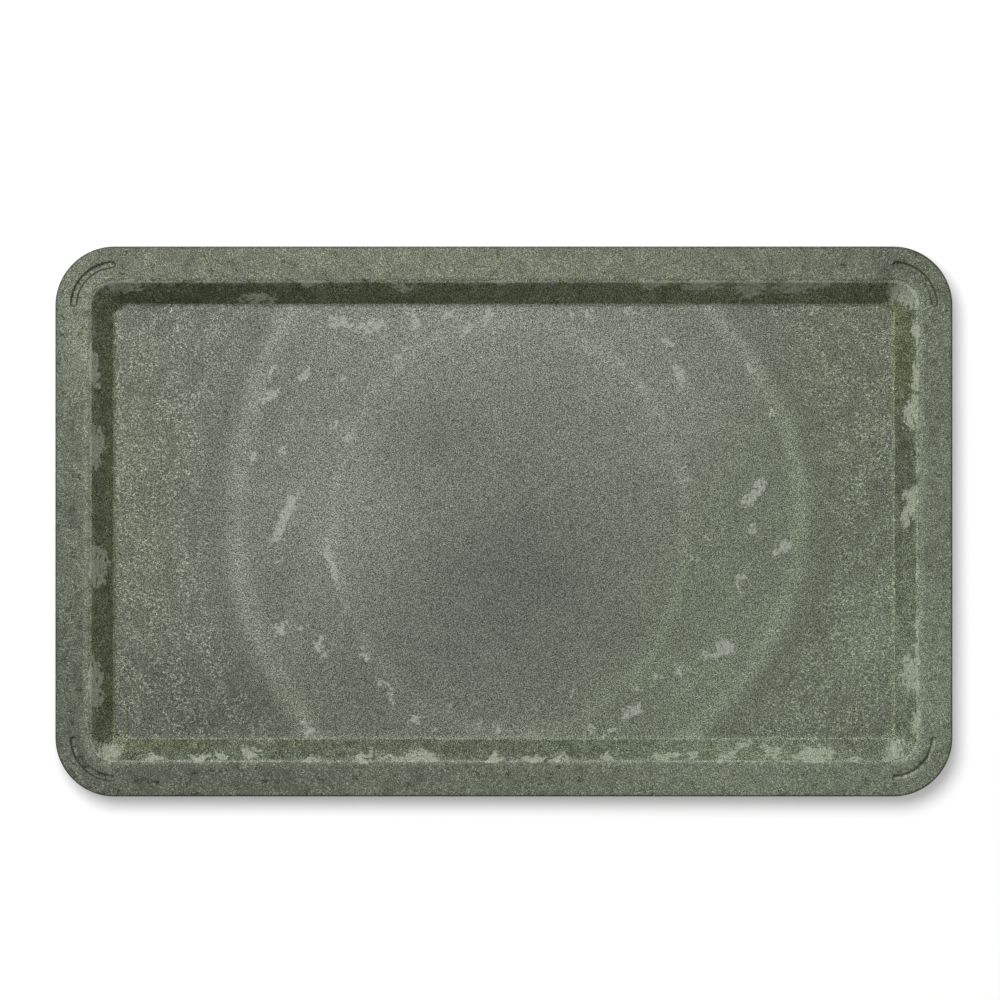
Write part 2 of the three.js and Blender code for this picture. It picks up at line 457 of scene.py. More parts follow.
w, given, results = start_effect("pebbled grain", {"Place": "Vector", "Size": "Float"}, ("Tone", "Height"))
grain_place = w.scaled(given["Place"], w.math("DIVIDE", 1.0, given["Size"]))
cells = {"Vector": grain_place, "Scale": 1.0}
pebbles = w.add("ShaderNodeTexVoronoi", cells, voronoi_dimensions="2D").outputs
pebble_tone = w.parts(pebbles["Color"])[0]
slant = {"Vector": grain_place, "Axis": GRAIN_AXIS, "Angle": GRAIN_TURN}
slanted = w.add("ShaderNodeVectorRotate", slant, rotation_type="AXIS_ANGLE").outputs["Vector"]
speckle = w.noise(slanted, 1.0, detail=SMOOTH, space="3D")
lowest_tone = 1.0 - SPECK_CONTRAST - PEBBLE_CONTRAST - GLINT_MEAN
tone = w.math("MULTIPLY_ADD", speckle, 2.0 * SPECK_CONTRAST, lowest_tone)
tone = w.math("MULTIPLY_ADD", pebble_tone, 2.0 * PEBBLE_CONTRAST, tone)
tone = w.plus(tone, w.fade(speckle, *GLINT_SPAN, 0.0, GLINT_CHANGE))
w.feed(results["Tone"], w.math("MAXIMUM", tone, DARKEST_TONE))
w.feed(results["Height"], w.math("SUBTRACT", speckle, pebbles["Distance"]))
print("pebbled grain:", len(w.tree.nodes), "nodes")

# %% [markdown]
# ## Fibres, patches and distances
#
# Both faces of the tray share some more effects. Short fibres were combed outwards by the flow. They are
# thin bends, drawn where a noise passes through its middle value, and a second noise cuts them short. The
# noise is laid by distance and angle about the middle, and so are the clumps that the fibres lie in. A
# soft patch is an ellipse that fades out from its middle. And one group measures: how far in from the
# tray's edge a point lies, and how far out from the middle line of a corner groove.

# %% Build the combed fibres
FLOW_MIDDLE = (9.8, 5.0, 0.0)
FLOW_RADIUS = 215.0
FIBRE_SIZE = (2.6, 1.6, 1.0)
FIBRE_HALF_WIDTH = 0.12
HAIR_SIZE = 2.0
HAIR_SPAN = (0.32, 0.55)
CLUMP_SIZE = (9.0, 18.0, 1.0)

w, given, results = start_effect("combed fibres", {"Place": "Vector"}, ("Fibres", "Clumps"))
outward = w.vector("MULTIPLY", w.vector("SUBTRACT", given["Place"], FLOW_MIDDLE), PLAN)
outward_parts = w.parts(outward)
turn = w.math("ARCTAN2", outward_parts[0], w.math("MULTIPLY", outward_parts[1], -1.0))
out_and_round = w.add(
    "ShaderNodeCombineXYZ", {"X": w.measure("LENGTH", outward), "Y": w.math("MULTIPLY", turn, FLOW_RADIUS)}
).outputs[0]
flow_noise = w.noise(w.vector("DIVIDE", out_and_round, FIBRE_SIZE), 1.0)
bends = w.line(flow_noise, NOISE_MIDDLE, FIBRE_HALF_WIDTH, 1.0)
cuts = w.fade(w.noise(given["Place"], HAIR_SIZE, detail=SMOOTH), *HAIR_SPAN)
w.feed(results["Fibres"], w.times(bends, cuts))
w.feed(results["Clumps"], w.noise(w.vector("DIVIDE", out_and_round, CLUMP_SIZE), 1.0))
print("combed fibres:", len(w.tree.nodes), "nodes")

# %% Build the soft patch
w, given, results = start_effect(
    "soft patch", {"Place": "Vector", "Centre": "Vector", "Along": "Vector", "Aside": "Vector"}, ("Mask",)
)
off_centre = w.vector("SUBTRACT", given["Place"], given["Centre"])
along = w.measure("DOT_PRODUCT", off_centre, given["Along"])
aside = w.measure("DOT_PRODUCT", off_centre, given["Aside"])
in_reaches = w.math("SQRT", w.math("MULTIPLY_ADD", along, along, w.times(aside, aside)))
w.feed(results["Mask"], w.fade(in_reaches, 1.0, 0.0))
print("soft patch:", len(w.tree.nodes), "nodes")


def patches(w, place, rows, spread=1.0):
    """Soft patches added up. Each row is a centre, a turn in degrees, a length, a width and a strength."""
    total = 0.0
    for x, y, turn, length, width, strength in rows:
        along = Vector((math.cos(math.radians(turn)), math.sin(math.radians(turn)), 0.0))
        aside = Vector((-along.y, along.x, 0.0))
        ellipse = {
            "Place": place,
            "Centre": (x, y, 0.0),
            "Along": along * 2.0 / (spread * length),
            "Aside": aside * 2.0 / (spread * width),
        }
        total = w.math("MULTIPLY_ADD", w.effect("soft patch", ellipse)["Mask"], strength, total)
    return total


# %% Build the ways from the edge and from the grooves
SIGN_FADE = 0.05
corner_middle = ((LENGTH / 2 - OUTER_CORNER) / MM, (WIDTH / 2 - OUTER_CORNER) / MM, 0.0)

w, given, results = start_effect("ways on the tray", {"Place": "Vector"}, ("Inset", "From groove"))
folded = w.vector("ABSOLUTE", w.vector("MULTIPLY", given["Place"], PLAN))
beside = w.vector("SUBTRACT", folded, corner_middle)
beside_parts = w.parts(beside)
past_corner = w.measure("LENGTH", w.vector("MAXIMUM", beside, (0.0, 0.0, 0.0)))
within = w.math("MINIMUM", w.math("MAXIMUM", beside_parts[0], beside_parts[1]), 0.0)
w.feed(results["Inset"], w.math("SUBTRACT", OUTER_CORNER / MM, w.math("ADD", past_corner, within)))

turn = w.math("ARCTAN2", beside_parts[1], beside_parts[0])
turn = w.math("MINIMUM", w.math("MAXIMUM", turn, groove_setback), math.pi / 2 - groove_setback)
on_circle = {"X": w.math("COSINE", turn), "Y": w.math("SINE", turn)}
groove_middle = w.scaled(w.add("ShaderNodeCombineXYZ", on_circle).outputs[0], groove_radius / MM)
outward = w.fade(w.math("SUBTRACT", past_corner, groove_radius / MM), -SIGN_FADE, SIGN_FADE, -1.0, 1.0)
w.feed(results["From groove"], w.times(w.measure("DISTANCE", beside, groove_middle), outward))
print("ways on the tray:", len(w.tree.nodes), "nodes")

# %% [markdown]
# ## The top face: floor, walls and rim
#
# The three zones of the top face were pressed differently, so each has tones of its own. They could be
# three materials, but then the seams between them would be hard. So there is one material with three
# masks, which fade into each other over the rounded bends. Noise frays the upper edge of the walls, where
# the flow tore.

# %% Tell floor, walls and rim apart
FLOOR_HEIGHTS = (THICKNESS / MM + 1.6, THICKNESS / MM + 0.2)
WALL_HEIGHTS = (RIM_TOP / MM - 0.6, RIM_TOP / MM - 3.4)
CREST_FRAY_SIZE = 6.0
CREST_FRAY = 6.0
RIM_FADE = 1.0

face_material, w, place = start_finish("pressed_top_face")
plan = w.vector("MULTIPLY", place, PLAN)
across = w.parts(plan)[0]
height = w.parts(place)[2]
ways = w.effect("ways on the tray", {"Place": place})
inset = ways["Inset"]
on_floor = w.fade(height, *FLOOR_HEIGHTS)
frayed_height = w.plus(height, w.swing(plan, CREST_FRAY_SIZE, CREST_FRAY, detail=CRISP))
on_wall = w.times(w.fade(frayed_height, *WALL_HEIGHTS), w.math("SUBTRACT", 1.0, on_floor))
on_rim = w.fade(inset, RIM_WIDTH / MM + RIM_FADE, RIM_WIDTH / MM - RIM_FADE)
print("three zones wired")

# %% [markdown]
# ## The top face: broad tones
#
# The charge of compound lay in the middle of the mould and was pressed out from there. It left a dark
# core, lighter ground around it, and ends that differ from each other. These broad tones are soft
# patches, lighter or darker than the ground, and slow noise makes them drift a little. The walls are
# darker all over, because the skin is stretched there.

# %% Lay the broad tones of the top face
DRIFT_SIZE = 45.0
DRIFT_PUSH = 14.0
WALL_CHANGE = -0.365
RIM_CHANGE = -0.17
FLOOR_TONES = (
    # x, y, turn, length, width, change
    (-20, 125, 0, 400, 160, 0.26),
    (-98, 8, 90, 200, 140, 0.24),
    (100, 70, -30, 160, 120, 0.19),
    (-10, -62, 0, 300, 180, -0.20),
    (-128, -32, 75, 76, 40, -0.14),
    (14, -14, 0, 170, 130, -0.16),
    (-40, 48, 30, 110, 70, -0.09),
    (-95, -118, 0, 220, 110, -0.15),
    (-195, -112, 0, 190, 130, -0.27),
    (218, -66, 65, 110, 56, 0.28),
    (128, -82, 48, 140, 50, 0.14),
    (90, -95, 0, 120, 60, 0.06),
)
WALL_TONES = (
    (-165, 135, 0, 150, 60, -0.14),
    (120, 135, 0, 420, 60, 0.28),
    (-60, -135, 0, 440, 60, -0.05),
    (150, -135, 0, 260, 60, 0.36),
    (238, -85, 90, 180, 60, 0.28),
    (238, 60, 90, 160, 60, -0.16),
    (-238, 20, 90, 320, 60, 0.02),
)
RIM_TONES = (
    (-50, 155, 0, 360, 70, 0.14),
    (80, 155, 0, 200, 70, 0.08),
    (235, 155, 0, 120, 70, -0.16),
    (-180, -155, 0, 320, 70, -0.30),
    (-20, -155, 0, 200, 70, -0.12),
    (150, -150, 0, 220, 50, 0.18),
    (235, -155, 0, 70, 70, 0.12),
    (-251, 100, 90, 80, 18, 0.28),
    (-258, 66, 90, 34, 60, -0.16),
    (-258, 0, 90, 170, 60, -0.16),
    (-258, -95, 90, 170, 60, -0.30),
    (258, -90, 90, 160, 60, 0.30),
    (258, 40, 90, 200, 60, 0.06),
)

drifting = w.ragged(plan, DRIFT_SIZE, DRIFT_PUSH)
floor_tone = w.times(patches(w, drifting, FLOOR_TONES), on_floor)
wall_tone = w.times(w.plus(patches(w, drifting, WALL_TONES), WALL_CHANGE), on_wall)
rim_tone = w.times(w.plus(patches(w, drifting, RIM_TONES), RIM_CHANGE), on_rim)
broad = w.plus(floor_tone, wall_tone, rim_tone)
print("broad tones:", len(FLOOR_TONES) + len(WALL_TONES) + len(RIM_TONES))

# %% [markdown]
# ## The top face: flow rings
#
# Where the front of the flow stood still for a moment there is a pale ring on the floor. Its two halves
# are parts of different ellipses, and a fainter ring lies inside it. Each is a soft line at one distance
# past an ellipse. Past the outer ring the ground is a step darker and the fibres show, so how far past it
# a point lies is kept.

# %% Draw the flow rings
SWAY_SIZE = 60.0
SWAY_PUSH = 7.0
LEFT_MIDDLE = (8.0, 8.0, 0.0)
LEFT_REACH = (167.0, 195.0, 1.0)
LEFT_MEAN = 178.0
LEFT_ARC_WIDTH = 12.0
LEFT_ARC_CHANGE = 0.34
RIGHT_MIDDLE = (8.0, 4.0, 0.0)
RIGHT_REACH = (167.5, 165.0, 1.0)
RIGHT_MEAN = 168.0
RIGHT_ARC_WIDTH = 9.0
RIGHT_ARC_CHANGE = 0.34
ARCS_PART = (20.0, 100.0)
INNER_MIDDLE = (3.0, -3.0, 0.0)
INNER_REACH = (104.0, 122.0, 1.0)
INNER_MEAN = 112.0
INNER_WIDTH = 7.0
INNER_CHANGE = 0.19
FADE_SIZE = 14.0
FADE_SPAN = (0.30, 0.60)
FADE_LEAST = 0.55
STEP_SPAN = (-2.0, 16.0)
STEP_CHANGE = -0.17


def past_ellipse(w, place, middle, reach, mean):
    """About how far, in millimetres, a place lies past an ellipse."""
    ellipse = {"Vector": place, "Location": middle, "Scale": reach}
    in_reaches = w.measure("LENGTH", w.add("ShaderNodeMapping", ellipse, vector_type="TEXTURE").outputs[0])
    return w.math("MULTIPLY_ADD", in_reaches, mean, -mean)


to_left = w.fade(across, ARCS_PART[0], -ARCS_PART[1])
to_right = w.fade(across, *ARCS_PART)
swaying = w.ragged(plan, SWAY_SIZE, SWAY_PUSH)
past_left = past_ellipse(w, swaying, LEFT_MIDDLE, LEFT_REACH, LEFT_MEAN)
past_right = past_ellipse(w, swaying, RIGHT_MIDDLE, RIGHT_REACH, RIGHT_MEAN)
left_arc = w.times(w.line(past_left, 0.0, LEFT_ARC_WIDTH, LEFT_ARC_CHANGE), to_left)
right_arc = w.times(w.line(past_right, 0.0, RIGHT_ARC_WIDTH, RIGHT_ARC_CHANGE), to_right)
past_inner = past_ellipse(w, swaying, INNER_MIDDLE, INNER_REACH, INNER_MEAN)
inner_ring = w.line(past_inner, 0.0, INNER_WIDTH, INNER_CHANGE)
unevenness = w.fade(w.noise(plan, FADE_SIZE, detail=CLOUDY), *FADE_SPAN, FADE_LEAST, 1.0)
past_ring = w.math("MULTIPLY_ADD", w.math("SUBTRACT", past_right, past_left), to_right, past_left)
step = w.fade(past_ring, *STEP_SPAN, 0.0, STEP_CHANGE)
rings = w.times(w.plus(w.times(w.plus(left_arc, right_arc, inner_ring), unevenness), step), on_floor)
print("flow rings wired")

# %% [markdown]
# ## The top face: pale marks on the floor
#
# Where the compound folded over itself it left pale, slightly bluish marks. Most lie round the two rings.
# A random texture would scatter them anywhere, so each one is a row in a list, and noise only tears their
# edges and breaks them up.

# %% Place the pale marks on the floor
FLOOR_MARKS = (
    # x, y, turn, length, width, strength
    (-98, 118, -10, 15, 8, 1.1),
    (-79, 116, 15, 26, 11, 0.7),
    (-53, 119, -60, 18, 8, 0.7),
    (-32, 122, 0, 16, 8, 0.7),
    (-22, 114, 50, 12, 5, 0.8),
    (-9, 122, 75, 14, 8, 0.8),
    (-138, 88, 65, 12, 5, 0.9),
    (-120, 87, 45, 15, 5, 0.9),
    (-139, 75, 22, 15, 6, 1.1),
    (-97, 104, -50, 10, 4, 0.5),
    (-95, 84, -75, 10, 3, 0.5),
    (-61, 98, 50, 13, 5, 0.7),
    (-53, 100, -70, 9, 4, 0.7),
    (-69, 80, 80, 10, 4, 0.5),
    (-121, 57, 45, 8, 4, 0.7),
    (-100, 57, 40, 11, 5, 0.7),
    (-92, 49, 10, 12, 7, 0.6),
    (-149, 39, -70, 11, 5, 0.9),
    (-131, 42, 35, 8, 5, 0.7),
    (-129, 4, 66, 34, 7, 1.0),
    (-134, -8, 60, 12, 7, 0.6),
    (-135, -23, 80, 8, 5, 0.5),
    (-31, 19, 40, 5, 3, 0.5),
    (-104, -20, -75, 28, 6, 0.8),
    (-101, -32, -60, 12, 8, 0.6),
    (-98, -40, 60, 9, 3, 0.5),
    (-132, -63, 30, 11, 9, 0.9),
    (-120, -62, -15, 14, 5, 0.6),
    (-110, -73, 70, 12, 6, 0.9),
    (-106, -79, -30, 7, 5, 0.8),
    (-124, -85, -65, 26, 8, 0.3),
    (-109, -100, -10, 7, 3, 0.6),
    (-118, -119, -50, 12, 4, 0.7),
    (-115, -125, 0, 7, 6, 1.1),
    (-82, -80, -40, 16, 6, 0.6),
    (-71, -97, -40, 14, 7, 0.6),
    (-67, -106, -60, 10, 4, 0.6),
    (-53, -118, 28, 17, 4, 0.7),
    (-42, -124, 55, 7, 4, 0.5),
    (-31, -110, 0, 5, 5, 0.6),
    (-15, -107, 15, 14, 5, 0.4),
    (-15, -120, 20, 10, 6, 0.5),
    (-4, -123, 0, 10, 7, 0.6),
    (40, 122, 0, 6, 5, 0.6),
    (51, 122, -80, 9, 5, 0.9),
    (75, 125, 20, 16, 6, 0.6),
    (93, 126, -60, 10, 4, 0.6),
    (50, 102, 10, 14, 7, 0.5),
    (68, 95, -40, 14, 5, 0.6),
    (83, 81, -50, 18, 5, 0.5),
    (97, 107, -40, 11, 4, 0.8),
    (104, 86, -80, 23, 7, 0.9),
    (113, 67, -70, 8, 4, 0.6),
    (106, 33, 60, 10, 5, 0.6),
    (109, 25, 55, 12, 5, 0.6),
    (148, 16, 57, 21, 8, 1.2),
    (147, 91, -50, 9, 5, 1.0),
    (158, 63, -60, 7, 4, 0.8),
    (166, 46, -70, 9, 4, 0.5),
    (121, -9, 0, 7, 5, 0.5),
    (147, -5, 75, 11, 5, 0.9),
    (165, -15, 50, 12, 8, 1.1),
    (113, -21, 25, 12, 6, 0.5),
    (126, -26, 0, 6, 4, 0.5),
    (141, -33, 0, 9, 4, 0.8),
    (140, -40, 85, 12, 4, 0.7),
    (143, -56, -20, 8, 4, 0.5),
    (131, -75, 18, 13, 8, 1.3),
    (121, -80, 12, 12, 4, 1.1),
    (104, -89, 82, 12, 5, 0.9),
    (91, -92, 40, 8, 6, 0.7),
    (79, -98, 15, 8, 5, 0.7),
    (72, -80, 30, 9, 5, 0.5),
    (76, -112, 42, 19, 7, 0.9),
    (62, -125, 30, 10, 5, 0.8),
    (51, -124, 0, 10, 6, 0.6),
    (40, -103, 35, 12, 5, 0.5),
    (173, -110, 45, 6, 4, 0.6),
)
MARK_SPREAD = 1.6
BEND_SIZE = 9.0
BEND_PUSH = 7.0
TEAR_SIZE = 2.8
TEAR_PUSH = 6.0
BREAK_SIZE = 2.6
BREAK_REACH = 1.7

torn = w.ragged(w.ragged(plan, BEND_SIZE, BEND_PUSH), TEAR_SIZE, TEAR_PUSH)
floor_field = w.times(patches(w, torn, FLOOR_MARKS, MARK_SPREAD), on_floor)
breaks = w.plus(w.swing(plan, BREAK_SIZE, BREAK_REACH, detail=CRISP), 1.0)
print("pale marks on the floor:", len(FLOOR_MARKS))

# %% [markdown]
# ## The top face: pale marks on the walls
#
# Over the crest the flow was drawn thin. There it left pale patches that start at the crest line and are
# ragged on the side of the wall, and weaker ones that reach further down. They are rows as well, with the
# same torn edges, and one more noise, drawn out along each wall, combs them into streaks.

# %% Place the pale marks on the walls
CREST_MARKS = (
    # x, y, turn, length, width, strength
    (-232, -137, 20, 14, 9, 0.5),
    (-208, -140, 0, 18, 4, 0.7),
    (-180, -140, 0, 14, 7, 1.1),
    (-168, -139, 0, 10, 6, 1.0),
    (-150, -137, 0, 14, 9, 1.0),
    (-115, -140, 0, 14, 5, 0.8),
    (-83, -139, 15, 13, 7, 0.8),
    (-66, -140, 0, 18, 4, 0.8),
    (-48, -139, -8, 20, 8, 1.0),
    (-6, -140, 0, 14, 6, 0.9),
    (17, -141, 0, 16, 5, 0.8),
    (32, -140, 0, 18, 5, 0.7),
    (62, -140, 0, 10, 5, 0.9),
    (96, -139, 5, 22, 7, 0.9),
    (112, -138, 10, 10, 5, 0.7),
    (130, -140, 8, 12, 7, 0.9),
    (141, -133, 28, 20, 5, 0.8),
    (158, -136, 0, 14, 10, 0.8),
    (184, -138, 6, 28, 10, 1.1),
    (207, -141, 0, 14, 3, 0.7),
    (229, -140, 0, 9, 5, 1.0),
    (232, -134, 20, 18, 12, 0.6),
    (237, 135, -35, 27, 17, 0.9),
    (244, 111, 98, 14, 4, 1.2),
    (244, 84, 90, 26, 6, 0.7),
    (241, 64, 82, 20, 9, 1.1),
    (246, 36, 90, 30, 4, 0.5),
    (240, 9, 80, 28, 10, 0.9),
    (246, -31, 90, 36, 4, 0.5),
    (244, -78, 90, 50, 3, 0.9),
    (240, -91, 95, 26, 10, 1.1),
    (244, -118, 86, 17, 5, 1.3),
    (-243, 92, 95, 28, 8, 1.2),
    (-241, 44, 90, 28, 10, 1.1),
    (-240, -27, 90, 28, 12, 1.1),
    (-242, -96, 90, 34, 10, 1.1),
    (-234, -135, 35, 32, 20, 0.42),
    (-225, 139, 0, 34, 10, 0.7),
    (-217, 143, 0, 17, 3, 1.0),
    (-145, 132, 0, 22, 9, 1.0),
    (-113, 141, 0, 18, 5, 0.8),
    (-105, 151, -35, 15, 3, 0.8),
    (-60, 139, 0, 18, 6, 0.8),
    (2, 142, 0, 20, 5, 0.8),
    (87, 141, 0, 22, 7, 1.1),
    (118, 140, 0, 28, 8, 1.1),
    (145, 138, 15, 20, 12, 1.1),
    (170, 138, 5, 28, 9, 1.1),
    (190, 141, 0, 18, 5, 0.9),
)
CREST_SPREAD = 1.4
CREST_CUT = (RIM_WIDTH / MM - 1.5, RIM_WIDTH / MM + 0.1)
CREST_SHARES = (0.45, 1.35)
STREAK_SQUEEZE = 0.35
END_WALLS = (222.0, 230.0)
STREAK_SIZE = 1.6
STREAK_REACH = 2.0
MARK_SPAN = (0.26, 0.70)
MARK_COVER = 0.88

above_floor = w.math("SUBTRACT", 1.0, on_floor)
below_crest = w.fade(inset, *CREST_CUT, *CREST_SHARES)
crest_field = w.times(patches(w, torn, CREST_MARKS, CREST_SPREAD), above_floor, below_crest)
at_end_wall = w.fade(w.math("ABSOLUTE", across), *END_WALLS)
on_long_walls = (STREAK_SQUEEZE, 1.0, 0.0, 1.0)
on_end_walls = (1.0, STREAK_SQUEEZE, 0.0, 1.0)
along_wall = w.vector("MULTIPLY", plan, w.mix(at_end_wall, on_long_walls, on_end_walls))
streaks = w.plus(w.swing(along_wall, STREAK_SIZE, STREAK_REACH, detail=CRISP), 1.0)
field = w.plus(w.times(floor_field, breaks), w.times(crest_field, streaks))
marks = w.fade(field, *MARK_SPAN, 0.0, MARK_COVER)
print("pale marks on the walls:", len(CREST_MARKS))

# %% [markdown]
# ## The top face: worn lines, painted highlight and groove shading
#
# Trays are stacked and slid over each other, so the top of the wall is rubbed in a thin pale line. The foot
# of the wall gets a thin pale line all round too, which is a painted highlight on the rounded fold. At the
# two ends, where hands and runners hold the tray, the rim is rubbed beside the crest too. The tray's edge
# is darker in a thin line. The grooves get painted shade on their outer side, except in the lower-right
# corner where that side faces the lamp, a painted highlight in their bed, strongest in that corner, and a
# dark line on the inner side in the top-left corner. Each is a soft line at one distance, and noise breaks
# the pale ones up in places.

# %% Draw the worn lines, the painted highlight and the groove shading
CREST_INSET = RIM_WIDTH / MM + 0.4
CREST_WIDTH = 1.0
CREST_CHANGE = 0.60
FOOT_HIGHLIGHT_INSET = (RIM_WIDTH + WALL_RUN) / MM - 0.8
FOOT_HIGHLIGHT_WIDTH = 0.9
FOOT_HIGHLIGHT_CHANGE = 0.60
HELD_INSET = RIM_WIDTH / MM - 2.1
HELD_WIDTH = 3.4
HELD_CHANGE = 0.36
HELD_ENDS = (226.0, 240.0)
LINE_GAP_SIZE = 8.0
LINE_GAP_SPAN = (0.30, 0.60)
LINE_GAP_LEAST = 0.35
EDGE_SPAN = (1.7, 0.4)
EDGE_CHANGE = -0.50
LEAN = (0.85, -0.53, 0.0)
GROOVE_SIDE = 1.8
GROOVE_SIDE_WIDTH = 1.0
GROOVE_BED_WIDTH = 1.4
OUTER_SIDE_SHADE = (180.0, 260.0, -0.65, 0.0)
BED_HIGHLIGHT = (180.0, 260.0, 0.05, 0.80)
INNER_SIDE_DARKENING = (-260.0, -160.0, -0.82, -0.05)

line_gaps = w.fade(w.noise(plan, LINE_GAP_SIZE, detail=CLOUDY), *LINE_GAP_SPAN, LINE_GAP_LEAST, 1.0)
at_ends = w.fade(w.math("ABSOLUTE", across), *HELD_ENDS)
crest_line = w.line(inset, CREST_INSET, CREST_WIDTH, CREST_CHANGE)
# The pale line at the wall's foot is a painted highlight on the rounded fold, drawn all round.
foot_highlight = w.line(inset, FOOT_HIGHLIGHT_INSET, FOOT_HIGHLIGHT_WIDTH, FOOT_HIGHLIGHT_CHANGE)
held_line = w.times(w.line(inset, HELD_INSET, HELD_WIDTH, HELD_CHANGE), at_ends)
worn_and_highlit_lines = w.times(w.plus(crest_line, foot_highlight, held_line), line_gaps)
edge_line = w.fade(inset, *EDGE_SPAN, 0.0, EDGE_CHANGE)
lean = w.measure("DOT_PRODUCT", plan, LEAN)
across_groove = ways["From groove"]
# Painted shade on the grooves' outer side in every corner but the lower right, where that side faces the
# lamp, and a dark line on the inner side in the top-left corner.
groove_outer_shade = w.line(across_groove, GROOVE_SIDE, GROOVE_SIDE_WIDTH, w.fade(lean, *OUTER_SIDE_SHADE))
groove_inner_line = w.line(across_groove, -GROOVE_SIDE, GROOVE_SIDE_WIDTH, w.fade(lean, *INNER_SIDE_DARKENING))
# A painted highlight in the grooves' bed, strongest in the lower-right corner.
groove_bed_highlight = w.line(across_groove, 0.0, GROOVE_BED_WIDTH, w.fade(lean, *BED_HIGHLIGHT))
edge_and_painted_groove_shading = w.plus(1.0, edge_line, groove_outer_shade, groove_inner_line, groove_bed_highlight)
print("worn lines and grooves wired")

# %% [markdown]
# ## The top face: tint
#
# The lightness is one number, and the tint is kept apart from it: neutral grey in the middle, greener
# towards the lower right, olive at the ends, and deep green on the walls, a little paler on those below
# and to the right. That way a tone can be made lighter without a change of its hue.

# %% Choose the tint of the top face
NEUTRAL_TINT = (0.926, 1.0, 0.81, 1.0)
GREEN_TINT = (0.868, 1.0, 0.72, 1.0)
OLIVE_TINT = (0.91, 1.0, 0.735, 1.0)
WALL_TINT = (0.86, 1.0, 0.58, 1.0)
LOWER_WALL_TINT = (0.862, 1.0, 0.685, 1.0)
GREEN_SPAN = (45.0, 120.0)
RIM_GREEN_SPAN = (-50.0, 140.0)
WALL_LEAN = (0.40, -0.90, 0.0)
WALL_GREEN_SPAN = (10.0, 70.0)
OLIVE_AREAS = (
    # x, y, turn, length, width, share
    (-225, 0, 90, 420, 140, 1.2),
    (205, 95, 90, 190, 120, 0.9),
    (-140, -110, 0, 220, 110, 0.7),
)

tint = w.mix(w.fade(lean, *GREEN_SPAN), NEUTRAL_TINT, GREEN_TINT)
tint = w.mix(w.math("MINIMUM", patches(w, drifting, OLIVE_AREAS), 1.0), tint, OLIVE_TINT)
rim_tint = w.mix(w.fade(lean, *RIM_GREEN_SPAN), OLIVE_TINT, GREEN_TINT)
tint = w.mix(on_rim, tint, rim_tint)
to_lower_right = w.fade(w.measure("DOT_PRODUCT", plan, WALL_LEAN), *WALL_GREEN_SPAN)
wall_tint = w.mix(to_lower_right, WALL_TINT, LOWER_WALL_TINT)
tint = w.mix(on_wall, tint, wall_tint)
print("tints mixed from", len(OLIVE_AREAS), "olive areas")

# %% [markdown]
# ## The top face: colour and surface
#
# Now all the tones are added up. Mottle, fibres and grain come last. Past the outer ring the mottle is
# stronger and the fibres show in clumps, and the walls and the rim have a finer mottle of their own. The
# grain is stronger on the walls and weaker on the rim. The pale marks are smoother, so the grain is
# weaker in them too. Grain and fibres also drive the bump, because a pale fibre stands a little proud,
# and the grain varies the roughness. Both faces of the tray end in the same few nodes, so a function adds
# them.

# %% Mix the colour of the top face
GROUND = 0.176
FLOOR_PALE = (0.335, 0.366, 0.308)
WALL_PALE = (0.325, 0.360, 0.278)
GRAIN_SIZE = 0.47
RIM_GRAIN = -0.18
WALL_GRAIN = 0.35
MARK_GRAIN = 0.45
MOTTLE_SIZE = 24.0
MOTTLE_REACH = 0.16
MOTTLE_INSIDE = 0.60
WALL_MOTTLE_SIZE = 7.0
WALL_MOTTLE_REACH = 0.35
RIM_MOTTLE = 0.55
COMBED_FROM = (4.0, 34.0)
COMBING_SPAN = (0.31, 0.58)
WALL_COMBING = 0.5
RIM_COMBING = 0.6
FIBRE_CHANGE = 1.00
FIBRE_BALANCE = -0.05

grain = w.effect("pebbled grain", {"Place": place, "Size": GRAIN_SIZE})
flow = w.effect("combed fibres", {"Place": place})
combed = w.times(w.fade(past_ring, *COMBED_FROM), on_floor)
combed = w.math("MULTIPLY_ADD", on_wall, WALL_COMBING, combed)
combed = w.math("MULTIPLY_ADD", on_rim, RIM_COMBING, combed)
combing = w.times(w.fade(flow["Clumps"], *COMBING_SPAN), combed)
fibre_tone = w.times(w.math("MULTIPLY_ADD", flow["Fibres"], FIBRE_CHANGE, FIBRE_BALANCE), combing)
mottle_share = w.fade(past_ring, *COMBED_FROM, MOTTLE_INSIDE, 1.0)
mottle = w.times(w.swing(drifting, MOTTLE_SIZE, MOTTLE_REACH, detail=CLOUDY), mottle_share)
above_mottle = w.math("MULTIPLY_ADD", on_rim, RIM_MOTTLE, on_wall)
wall_mottle = w.times(w.swing(plan, WALL_MOTTLE_SIZE, WALL_MOTTLE_REACH, detail=CRISP), above_mottle)

grain_share = w.math("MULTIPLY_ADD", on_rim, RIM_GRAIN, w.math("MULTIPLY_ADD", on_wall, WALL_GRAIN, 1.0))
grain_tone = w.plus(w.times(w.plus(grain["Tone"], -1.0), grain_share), 1.0)

# The worn lines hold the painted highlight at the wall's foot; the last factor holds the dark edge and the
# painted shade and highlight of the grooves.
light = w.times(w.plus(1.0, broad, mottle, wall_mottle, rings, worn_and_highlit_lines, fibre_tone), edge_and_painted_groove_shading)
ground = w.scaled(tint, w.times(light, grain_tone, GROUND))
pale = w.mix(on_floor, (*WALL_PALE, 1.0), (*FLOOR_PALE, 1.0))
mark_grain = w.math("MULTIPLY_ADD", grain_tone, MARK_GRAIN, 1.0 - MARK_GRAIN)
colour = w.mix(marks, ground, w.scaled(pale, mark_grain))
print("colour of the top face mixed")

# %% Give the top face its surface
BUMP_DEPTH = 0.05 * MM
FIBRE_RELIEF = 0.6
ROUGHNESS = 0.62
ROUGHNESS_SWING = -0.04
SPECULAR = 0.25


